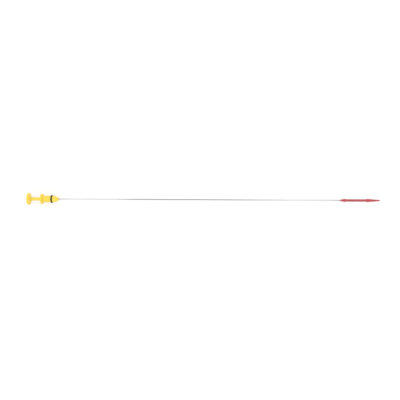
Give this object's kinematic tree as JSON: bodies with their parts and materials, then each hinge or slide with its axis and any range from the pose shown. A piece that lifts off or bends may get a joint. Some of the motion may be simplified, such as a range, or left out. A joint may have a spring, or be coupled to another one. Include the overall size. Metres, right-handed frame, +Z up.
{
  "type": "engine oil dipstick",
  "caption": "Engine oil dipstick: round pull knob, flanged plug with a seal ring, long bright wire and a slim double-arrow measuring tip with hatched flats.",
  "frame": {"origin": "on the surface that the stick lies on, midway between the knob's top and the tip's point", "axes": "+X along the stick from the knob to the tip, +Z up, with the stick at rest on its knob's rim and its tip"},
  "size_m": [0.5992, 0.0206, 0.0206],
  "materials": {
    "yellow_plastic": "satin moulded nylon",
    "black_rubber": "matt moulded rubber",
    "drawn_steel": "bright drawn",
    "red_plastic": "satin moulded nylon"
  },
  "bodies": {
    "root": {"handle": "yellow_plastic", "o_ring": "black_rubber", "wire": "drawn_steel", "level_tip": "red_plastic"}
  },
  "joints": []
}
